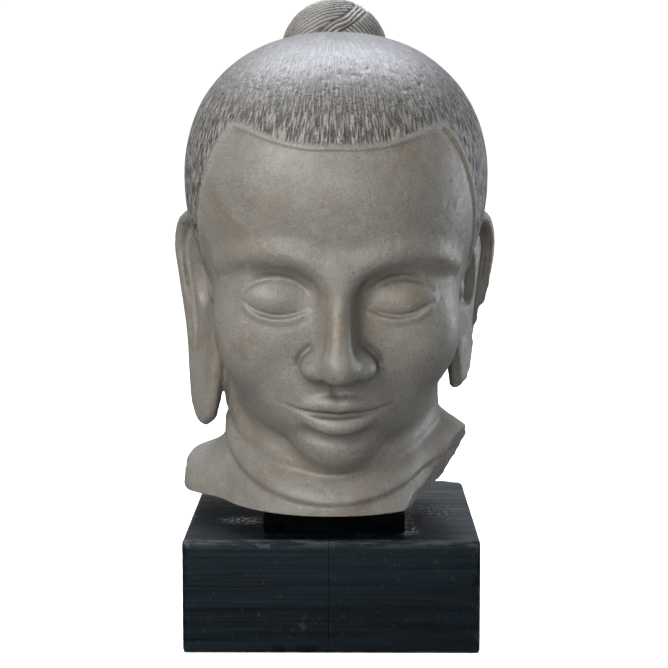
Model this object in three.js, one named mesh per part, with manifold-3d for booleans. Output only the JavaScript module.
// A stone Buddha head with a round chignon and long ears, broken off at the neck, on a black plinth.
// Millimetres, +Z up, the face towards -Y. The origin is the middle of the plinth's underside.
// The head is one carved stone: a sphere pushed out to a sculpted head shape, joined with the chignon, the ears and the
// neck stump, and then cut where the real stone is broken. The plinth is two boards glued side by side, with a low
// spacer block on top that carries the neck.
import * as THREE from "three";
import { SimplifyModifier } from "three/addons/modifiers/SimplifyModifier.js";
import { mergeVertices } from "three/addons/utils/BufferGeometryUtils.js";
import Module from "manifold-3d";

const wasm = await Module();
wasm.setup();

// ---- driving sizes ---------------------------------------------------------------------------------------------
const PLINTH_W = 220; // along X
const PLINTH_D = 220; // along Y
const PLINTH_H = 85;
const PLINTH_EDGE = 3; // rounding of the plinth's edges
const SEAM_X = -2; // where the two boards meet
const GAP = 0.3; // clearance between touching pieces
const SPACER_W = 106; // along X
const SPACER_D = 136; // along Y
const SPACER_H = 14;
const SPACER_X = 2; // middle of the spacer
const SPACER_Y = -17;

const HEAD_AT = new THREE.Vector3(2.8, -12, 285); // between the ears, at the height of the eyes
const BOW = THREE.MathUtils.degToRad(10); // the head bows forwards
const TURN = THREE.MathUtils.degToRad(1.5); // and turns a little to +X
const THIRD = 82; // hairline to brow, brow to base of nose, base of nose to chin
const CRANIUM = [115.5, 132, 108]; // half sizes
const SQUARE = 2.22; // 2 is an ellipsoid, more is squarer
const HAIR = 1.3; // the hair stands proud of the skin by this
const BUN_R = 43;
const BUN_AT = [0, 89, 147.5]; // in the head's own frame
const EAR_AT = [91.5, 2]; // root of the ear, to the side and back
const EAR_OUT = THREE.MathUtils.degToRad(54.4); // how far the ear turns back along the head
const EAR_TOP = 35; // above the eyes
const EAR_LOBE = -140; // lowest point of a whole ear
const EAR_T = 13; // thickness
const NECK_CUT = PLINTH_H + SPACER_H + GAP; // the neck's flat underside

// Heights of the face, from the thirds
const CHIN = -1.72 * THIRD;
const NOSE = CHIN + THIRD;
const BROW = NOSE + THIRD;
const HAIRLINE = BROW + THIRD;
const MOUTH = NOSE - THIRD / 3;
const EYE = 43; // eye centres to either side, one eye width apart

// ---- shaping functions ------------------------------------------------------------------------------------------
const clamp = THREE.MathUtils.clamp;
const smooth = THREE.MathUtils.smoothstep;
const lerp = THREE.MathUtils.lerp;

function join(a, b, k) {
  const h = Math.max(k - Math.abs(a - b), 0) / k;
  return Math.min(a, b) - (h * h * k) / 4;
}
const carve = (a, b, k) => -join(-a, b, k); // b taken out of a
const meet = (a, b, k) => -join(-a, -b, k); // where both are

// About the distance to an ellipsoid.
function egg(x, y, z, cx, cy, cz, rx, ry, rz) {
  const a = (x - cx) / rx;
  const b = (y - cy) / ry;
  const c = (z - cz) / rz;
  const k0 = Math.hypot(a, b, c);
  const k1 = Math.hypot(a / rx, b / ry, c / rz);
  return k1 < 1e-9 ? -Math.min(rx, ry, rz) : (k0 * (k0 - 1)) / k1;
}

// The same for a squarer one.
function dome(x, y, z, cx, cy, cz, rx, ry, rz, n) {
  const a = Math.abs(x - cx) / rx;
  const b = Math.abs(y - cy) / ry;
  const c = Math.abs(z - cz) / rz;
  const k = Math.max((a ** n + b ** n + c ** n) ** (1 / n), 1e-3);
  const g =
    Math.hypot(a ** (n - 1) / rx, b ** (n - 1) / ry, c ** (n - 1) / rz) *
    k ** (1 - n);
  return (k - 1) / Math.max(g, 1e-4);
}

// A round bar whose radius goes from ra to rb.
function bar(x, y, z, a, b, ra, rb) {
  const ux = b[0] - a[0];
  const uy = b[1] - a[1];
  const uz = b[2] - a[2];
  const t = clamp(
    ((x - a[0]) * ux + (y - a[1]) * uy + (z - a[2]) * uz) /
      (ux * ux + uy * uy + uz * uz),
    0,
    1,
  );
  return (
    Math.hypot(x - a[0] - ux * t, y - a[1] - uy * t, z - a[2] - uz * t) -
    lerp(ra, rb, t)
  );
}

// A bar along a few points, each x, y, z and radius.
function string(x, y, z, q) {
  let d = Infinity;
  for (let i = 0; i + 1 < q.length; i++)
    d = Math.min(d, bar(x, y, z, q[i], q[i + 1], q[i][3], q[i + 1][3]));
  return d;
}

const rough = (x, y, z) =>
  Math.sin(0.11 * x + 1.3 * Math.sin(0.07 * y + 0.5)) *
    Math.cos(0.13 * y + 0.9 * Math.sin(0.09 * z)) +
  0.5 * Math.sin(0.31 * x + 0.2 * y + 2.1) * Math.sin(0.27 * z - 0.21 * y + 0.7);

// Height of the edge of the hair, by the angle from the front of the head.
function hairEdge(angle) {
  const deg = THREE.MathUtils.radToDeg(angle);
  return (
    HAIRLINE +
    10 * smooth(deg, 8, 45) -
    (HAIRLINE - 2) * smooth(deg, 42, 68) -
    36 * smooth(deg, 60, 92) -
    34 * smooth(deg, 96, 136)
  );
}

// The skull and the jaw, without the face's detail, in the head's own frame.
function skull(x, y, z) {
  const s = Math.abs(x);
  let d = dome(x, y, z, 0, 18, 62, ...CRANIUM, SQUARE);
  d = join(d, egg(x, y, z, 0, -16, -28, 91, 92, 112), 30);
  d = join(d, egg(x, y, z, 0, -38, -90, 68, 56, 48), 26); // jaw
  d = join(d, egg(s, y, z, 54, -66, -38, 36, 34, 40), 26); // cheeks
  const edge = z - hairEdge(Math.atan2(s, 10 - y));
  return d - HAIR * smooth(edge, -2, 4) * smooth(z, -75, -50);
}

// The face's masses and lines, put on (1) or cut in (0) one after another with a blend of so many millimetres.
const eggs = (e) => (x, y, z) => egg(x, y, z, ...e);
const strings = (q) => (x, y, z) => string(x, y, z, q);
const FACE = [
  [0, 16, eggs([EYE, -119, 1, 31, 23, 17])], // eye hollows
  [
    1,
    14,
    strings([
      [4, -107.3, BROW - 14, 3.5],
      [19, -107.6, BROW + 1, 4.6],
      [44, -101.8, BROW + 7.5, 4.8],
      [68, -86.6, BROW + 3, 4],
      [86, -62.8, BROW - 9, 2],
    ]),
  ], // brows
  [1, 7, eggs([EYE, -85.5, -6, 26.5, 17.5, 16])], // lowered lids
  [
    1,
    4,
    strings([
      [23, -101.9, -13.5, 1.2],
      [33, -101.9, -18.5, 2.2],
      [45, -101.1, -20, 2.4],
      [58, -98.5, -17.5, 2],
      [67, -94, -12, 1.2],
    ]),
  ], // lower lids
  [
    0,
    3,
    strings([
      [20, -103.2, -9.5, 0.6],
      [31, -103, -14, 1.7],
      [44, -102.6, -16.2, 2],
      [58, -100, -13.6, 1.7],
      [70, -92.8, -7, 0.6],
    ]),
  ], // between the lids
  [
    1,
    14,
    strings([
      [0, -105, BROW - 2, 7.5],
      [0, -111, BROW - 20, 7],
      [0, -120, BROW - 42, 8.2],
      [0, -130, NOSE + 17, 10.5],
    ]),
  ], // bridge of the nose
  [
    1,
    8,
    strings([
      [0, -98, BROW - 16, 9],
      [0, -105, BROW - 42, 13],
      [0, -110, NOSE + 13, 16],
    ]),
  ],
  [1, 9, eggs([0, -130.5, NOSE + 10.5, 12.5, 12, 11])], // tip
  [1, 9, eggs([16, -115, NOSE + 8, 11.5, 14.5, 9.5])], // wings
  [1, 22, eggs([0, -80, MOUTH + 2, 47, 32, 34])], // round the mouth
  [
    1,
    4,
    strings([
      [34, -97, MOUTH + 1.5, 1.6],
      [22, -107.5, MOUTH + 4, 4.4],
      [9, -112.5, MOUTH + 6.5, 5.8],
      [0, -113, MOUTH + 5.5, 5.6],
    ]),
  ], // upper lip
  [
    1,
    4,
    strings([
      [32, -97, MOUTH - 2, 1.6],
      [20, -107, MOUTH - 7, 5.2],
      [8, -111, MOUTH - 10, 7.4],
      [0, -112, MOUTH - 10.5, 7.6],
    ]),
  ], // lower lip
  [
    0,
    3,
    strings([
      [40, -102.8, MOUTH + 2.8, 0.6],
      [30, -107.7, MOUTH + 0.4, 1.6],
      [14, -112.8, MOUTH - 1.4, 2.1],
      [0, -114.6, MOUTH - 2.4, 2.1],
    ]),
  ], // between the lips
  [
    0,
    12,
    strings([
      [0, -105.3, MOUTH - 25.5, 5],
      [12, -104.4, MOUTH - 25, 4.6],
      [22, -102.9, MOUTH - 22, 2],
    ]),
  ], // under the lower lip
  [1, 16, eggs([0, -84, CHIN + 20, 28, 23, 20])], // chin
];

const headPlace = new THREE.Matrix4().compose(
  HEAD_AT,
  new THREE.Quaternion().setFromEuler(new THREE.Euler(BOW, 0, TURN, "ZYX")),
  new THREE.Vector3(1, 1, 1),
);

// The neck, upright, in the part's frame: it widens downwards, with soft folds round its front and the stubs of the
// shoulders, which are broken off.
function neck(x, y, z) {
  const t = clamp((165 - z) / 68, 0, 1.2);
  const rx = 84 + 11 * t * t;
  const ry = y < 14 ? 77 + 34 * t : 68 + 12 * t;
  let d = (Math.hypot(x / rx, (y - 14) / ry) - 1) * 74;
  d = meet(d, z - 236, 40);
  d = join(d, egg(x, y, z, -86, 44, 102, 44, 58, 30), 26); // left shoulder
  d = join(d, egg(x, y, z, 78, 26, 123, 44, 52, 34), 22); // right shoulder
  const h = z - 0.4 * Math.min(y, 14);
  const bell = (at, w) => Math.exp(-(((h - at) / w) ** 2));
  d -=
    (1.5 * bell(149, 9) - 2.1 * bell(141, 5) - 1.7 * bell(160, 5)) *
    smooth(-y, -45, 5);
  const n = rough(x, y, z);
  d = meet(d, 0.86 * (x - 107) - 0.22 * (y - 20) - 0.46 * (z - 150) + 1.8 * n, 2);
  d = meet(d, x - 113 + 1.4 * n, 2);
  d = meet(d, -(x + 120) + 1.2 * n, 9);
  return d;
}

const toHead = headPlace.clone().invert();
const spot = new THREE.Vector3();

// The stone without its ears and chignon, in the part's frame.
function body(x, y, z) {
  const p = spot.set(x, y, z).applyMatrix4(toHead);
  let d = skull(p.x, p.y, p.z);
  const s = Math.sqrt(p.x * p.x + 0.3);
  if (p.y < -30 && p.z < 70)
    for (const [put, k, shape] of FACE)
      d = (put ? join : carve)(d, shape(s, p.y, p.z), k);
  if (z < 290) d = join(d, neck(x, y, z), 9 + 26 * smooth(y, 10, 70));
  return Math.max(d, NECK_CUT - 8 - z);
}

// ---- making solids ----------------------------------------------------------------------------------------------
// A sphere geometry whose points are pushed along their own directions, from the outside in, until they meet a shape.
// Its pole looks along -Y, and crowd > 1 draws the rings together there.
function cast(around, rings, crowd, from, shape, far) {
  const g = new THREE.SphereGeometry(1, around, rings);
  const p = g.attributes.position;
  for (let i = 0; i < p.count; i++) {
    const a = Math.acos(clamp(p.getY(i), -1, 1));
    const b = Math.PI * Math.pow(a / Math.PI, crowd);
    const side = Math.hypot(p.getX(i), p.getZ(i)) || 1;
    const dx = (p.getX(i) / side) * Math.sin(b);
    const dy = -Math.cos(b);
    const dz = (-p.getZ(i) / side) * Math.sin(b);
    const at = (r) => shape(from[0] + dx * r, from[1] + dy * r, from[2] + dz * r);
    let r = far;
    while (r > 6 && at(r) > 0) r -= 4;
    let low = r;
    let high = r + 4;
    for (let n = 0; n < 24; n++) {
      const mid = (low + high) / 2;
      if (at(mid) > 0) high = mid;
      else low = mid;
    }
    p.setXYZ(i, from[0] + dx * low, from[1] + dy * low, from[2] + dz * low);
  }
  return g;
}

// Evens out a cast geometry: each point moves towards the middle of its neighbours, and back onto the shape.
function settle(geometry, shape, rounds) {
  for (const name of ["normal", "uv"]) geometry.deleteAttribute(name);
  const g = mergeVertices(geometry, 1e-3);
  const p = g.attributes.position;
  const next = Array.from({ length: p.count }, () => new Set());
  const id = g.index.array;
  for (let i = 0; i < id.length; i += 3)
    for (let j = 0; j < 3; j++) {
      next[id[i + j]].add(id[i + ((j + 1) % 3)]);
      next[id[i + ((j + 1) % 3)]].add(id[i + j]);
    }
  const at = Float64Array.from(p.array);
  const slope = (x, y, z) => {
    const e = 0.8;
    return [
      (shape(x + e, y, z) - shape(x - e, y, z)) / (2 * e),
      (shape(x, y + e, z) - shape(x, y - e, z)) / (2 * e),
      (shape(x, y, z + e) - shape(x, y, z - e)) / (2 * e),
    ];
  };
  for (let n = 0; n < rounds; n++) {
    const to = Float64Array.from(at);
    for (let i = 0; i < p.count; i++) {
      const m = [0, 0, 0];
      for (const j of next[i]) for (let c = 0; c < 3; c++) m[c] += at[3 * j + c];
      const q = [0, 1, 2].map((c) => at[3 * i + c]);
      const g1 = slope(...q);
      const len = g1[0] ** 2 + g1[1] ** 2 + g1[2] ** 2 || 1;
      const off = [0, 1, 2].map((c) => m[c] / next[i].size - q[c]);
      const up = (off[0] * g1[0] + off[1] * g1[1] + off[2] * g1[2]) / len;
      for (let c = 0; c < 3; c++) q[c] += 0.5 * (off[c] - up * g1[c]);
      const g2 = slope(...q);
      const d = clamp(shape(...q), -3, 3);
      const len2 = Math.max(g2[0] ** 2 + g2[1] ** 2 + g2[2] ** 2, 0.25);
      for (let c = 0; c < 3; c++) to[3 * i + c] = q[c] - (d * g2[c]) / len2;
    }
    at.set(to);
  }
  p.array.set(at);
  return g;
}

// Keeps about so many triangles, most of them where the surface bends.
async function thin(geometry, triangles) {
  const spare = (geometry.index.count / 3 - triangles) / 2;
  geometry.computeVertexNormals();
  return new SimplifyModifier().modify(geometry, spare);
}

function solid(geometry) {
  const g = geometry.clone();
  for (const name of ["normal", "uv"]) g.deleteAttribute(name);
  const m = mergeVertices(g, 1e-3);
  return new wasm.Manifold(
    new wasm.Mesh({
      numProp: 3,
      vertProperties: new Float32Array(m.attributes.position.array),
      triVerts: new Uint32Array(m.index.array),
    }),
  );
}

function geometryOf(made) {
  const m = made.getMesh();
  const v = new Float32Array(m.numVert * 3);
  for (let i = 0; i < m.numVert; i++)
    v.set(m.vertProperties.subarray(i * m.numProp, i * m.numProp + 3), i * 3);
  const g = new THREE.BufferGeometry();
  g.setAttribute("position", new THREE.BufferAttribute(v, 3));
  g.setIndex(new THREE.BufferAttribute(new Uint32Array(m.triVerts), 1));
  g.computeVertexNormals();
  return g;
}

function box(w, d, h, x, y, z) {
  return new THREE.BoxGeometry(w, d, h).translate(x, y, z);
}

// One ear, in the head's frame. Its own plane runs back and outwards from the side of the face: u across, v up.
function ear(side) {
  const outline = new THREE.Shape();
  outline.moveTo(-5, -70);
  outline.splineThru(
    [
      [-8, -30],
      [-8, 10],
      [3, EAR_TOP - 7],
      [24, EAR_TOP],
      [43, EAR_TOP - 8],
      [50, 6],
      [44, -28],
      [37, -62],
      [31, -96],
      [25, -122],
      [11, EAR_LOBE],
      [0, -126],
      [-4, -100],
    ].map(([u, v]) => new THREE.Vector2(u, v)),
  );
  const bevel = 3.5;
  const g = new THREE.ExtrudeGeometry(outline, {
    depth: EAR_T - 2 * bevel,
    bevelEnabled: true,
    bevelThickness: bevel,
    bevelSize: bevel,
    bevelOffset: -bevel,
    bevelSegments: 2,
    curveSegments: 3,
    steps: 1,
  });
  g.translate(0, 0, bevel - EAR_T / 2);
  const rim = new THREE.CatmullRomCurve3(
    [
      [0, -2],
      [-1, 18],
      [12, EAR_TOP - 6],
      [30, EAR_TOP - 7],
      [43, 16],
      [45, -2],
      [38, -32],
      [30, -64],
    ].map(([u, v]) => new THREE.Vector3(u, v, EAR_T / 2 - 1)),
  );
  const section = new THREE.Shape();
  section.absarc(0, 0, 5, 0, 2 * Math.PI);
  const helix = new THREE.ExtrudeGeometry(section, {
    extrudePath: rim,
    steps: 16,
    curveSegments: 5,
    bevelEnabled: false,
  });
  const bowl = new THREE.SphereGeometry(1, 16, 10)
    .scale(13, 24, 8)
    .translate(17, -24, EAR_T / 2 + 2);
  // u goes outwards and back, w outwards and forwards; the lobe stands out as it drops
  const place = (geometry) => {
    const p = geometry.attributes.position;
    for (let i = 0; i < p.count; i++) {
      const u = p.getX(i);
      const v = p.getY(i);
      const w = p.getZ(i) + 5 * smooth(-v, 50, 130);
      const x = EAR_AT[0] + Math.cos(EAR_OUT) * u + Math.sin(EAR_OUT) * w;
      const y = EAR_AT[1] + Math.sin(EAR_OUT) * u - Math.cos(EAR_OUT) * w;
      p.setXYZ(i, side * x, y, v);
    }
    if (side > 0) return geometry;
    // the ear on the other side is mirrored, which turns its faces round
    const flipped = geometry.index ? geometry.toNonIndexed() : geometry;
    const q = flipped.attributes.position;
    for (let i = 0; i < q.count; i += 3) {
      const t = [q.getX(i), q.getY(i), q.getZ(i)];
      q.setXYZ(i, q.getX(i + 1), q.getY(i + 1), q.getZ(i + 1));
      q.setXYZ(i + 1, ...t);
    }
    return flipped;
  };
  const make = (geometry) => solid(place(geometry.clone()));
  const made = make(g).add(make(helix)).subtract(make(bowl));
  if (side < 0) return made;
  // this side has lost its back edge and its lobe
  return made
    .subtract(make(lump(80, 220, 60, 52.8, -104, -20.8)))
    .subtract(make(lump(160, 80, 60, 8, -140, 0)));
}

// A rough block that takes away what is broken, turned in its own plane.
function lump(w, h, d, x, y, turn) {
  const g = new THREE.BoxGeometry(w, h, d, 10, 22, 6);
  const p = g.attributes.position;
  for (let i = 0; i < p.count; i++) {
    const n = 1.6 * rough(2.3 * p.getX(i) + x, 2.3 * p.getY(i) + y, 2 * p.getZ(i));
    p.setXYZ(i, p.getX(i) + n, p.getY(i) + n, p.getZ(i));
  }
  return g.rotateZ(THREE.MathUtils.degToRad(turn)).translate(x, y, 0);
}

// ---- the stone --------------------------------------------------------------------------------------------------
const crown = solid(
  await thin(settle(cast(160, 112, 1.3, [0, -10, 195], body, 330), body, 8), 6500),
);
const bun = solid(
  new THREE.SphereGeometry(BUN_R, 24, 16)
    .rotateX(Math.PI / 2 - 0.6)
    .translate(...BUN_AT),
);
const wholeEar = ear(-1);
const brokenEar = ear(1);
const placed = (s) => s.transform([...headPlace.elements]);
const below = solid(box(400, 400, 100, 0, 0, NECK_CUT - 50));
const stone = crown
  .add(placed(bun))
  .add(placed(wholeEar))
  .add(placed(brokenEar))
  .subtract(below);

// ---- the plinth and the spacer -----------------------------------------------------------------------------------
function block(w, d, h, edge, x, y, z) {
  const r = edge;
  const outline = new THREE.Shape();
  outline.moveTo(-w / 2 + r, -d / 2);
  outline.lineTo(w / 2 - r, -d / 2);
  outline.absarc(w / 2 - r, -d / 2 + r, r, -Math.PI / 2, 0);
  outline.lineTo(w / 2, d / 2 - r);
  outline.absarc(w / 2 - r, d / 2 - r, r, 0, Math.PI / 2);
  outline.lineTo(-w / 2 + r, d / 2);
  outline.absarc(-w / 2 + r, d / 2 - r, r, Math.PI / 2, Math.PI);
  outline.lineTo(-w / 2, -d / 2 + r);
  outline.absarc(-w / 2 + r, -d / 2 + r, r, Math.PI, 1.5 * Math.PI);
  return new THREE.ExtrudeGeometry(outline, {
    depth: h - r,
    bevelEnabled: true,
    bevelThickness: r / 2,
    bevelSize: r / 2,
    bevelOffset: -r / 2,
    bevelSegments: 2,
    curveSegments: 3,
  }).translate(x, y, z + r / 2);
}

const plinth = solid(block(PLINTH_W, PLINTH_D, PLINTH_H, PLINTH_EDGE, 0, 0, 0));
const cutLeft = solid(box(400, 400, 400, SEAM_X - GAP / 2 - 200, 0, 0));
const cutRight = solid(box(400, 400, 400, SEAM_X + GAP / 2 + 200, 0, 0));

// ---- the scene --------------------------------------------------------------------------------------------------
const sandstone = new THREE.MeshStandardMaterial({
  color: new THREE.Color(0.43, 0.41, 0.38),
  roughness: 0.62,
  metalness: 0,
});
const blackWood = new THREE.MeshStandardMaterial({
  color: new THREE.Color(0.012, 0.015, 0.019),
  roughness: 0.45,
  metalness: 0,
});
const blackMount = new THREE.MeshStandardMaterial({
  color: new THREE.Color(0.005, 0.005, 0.006),
  roughness: 0.6,
  metalness: 0,
});

const object = new THREE.Group();
function add(name, geometry, material) {
  const m = new THREE.Mesh(geometry, material);
  m.name = name;
  object.add(m);
}
add("stone_head", geometryOf(stone), sandstone);
add(
  "mount_spacer",
  block(
    SPACER_W,
    SPACER_D,
    SPACER_H - GAP,
    1.5,
    SPACER_X,
    SPACER_Y,
    PLINTH_H + GAP,
  ),
  blackMount,
);
add("plinth_left", geometryOf(plinth.intersect(cutLeft)), blackWood);
add("plinth_right", geometryOf(plinth.intersect(cutRight)), blackWood);

export default object;
